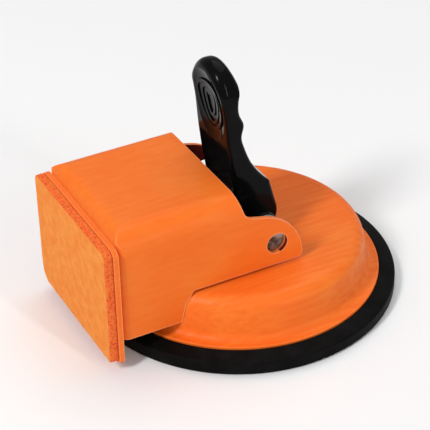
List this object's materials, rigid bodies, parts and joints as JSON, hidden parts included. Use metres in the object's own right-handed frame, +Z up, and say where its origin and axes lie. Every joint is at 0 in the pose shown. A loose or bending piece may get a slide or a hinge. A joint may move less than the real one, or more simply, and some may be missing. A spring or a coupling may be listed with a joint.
{
  "type": "vacuum suction cup",
  "caption": "Vacuum suction cup with a flip cam lever, a round rubber pad and a steel strike housing with a foam striking face, for closing gaps in laid flooring.",
  "frame": {"origin": "centre of the rubber pad's flat sealing face, on the cup's axis at floor level", "axes": "+Z up along the cup's axis, -X towards the foam striking face, +Y along the lever's pin, away from its longer end"},
  "size_m": [0.1266, 0.118, 0.0964],
  "materials": {
    "orange_paint": "satin powder coat",
    "black_rubber": "matte",
    "zinc_steel": "zinc plated",
    "natural_nylon": "matte",
    "black_plastic": "gloss",
    "orange_foam": "closed-cell foam, matte",
    "adhesive": "matte"
  },
  "bodies": {
    "cup": {"rubber_pad": "black_rubber", "cup_dish": "orange_paint", "thrust_bush": "natural_nylon", "strike_housing": "orange_paint", "strike_plate": "orange_paint", "foam_tape": "adhesive", "foam_pad": "orange_foam", "mounting_saddle": "zinc_steel", "saddle_rivets": "zinc_steel"},
    "pull_rod": {"insert_plate": "zinc_steel", "pull_stem": "zinc_steel", "lever_pin": "zinc_steel", "pin_clips": "zinc_steel"},
    "lever": {"cam_lever": "black_plastic"}
  },
  "joints": [
    {"name": "rod_lift", "type": "slide", "parent": "cup", "child": "pull_rod", "axis": [0, 0, 1], "range_m": [0, 0.0025]},
    {"name": "lever_flip", "type": "hinge", "parent": "pull_rod", "child": "lever", "pos_m": [0, 0, 0.0331], "axis": [0, 1, 0], "range_deg": [0, 104.7]}
  ],
  "couplings": [
    {"joint": "lever_flip", "follows": "rod_lift", "rad_per_m": 730.9}
  ]
}
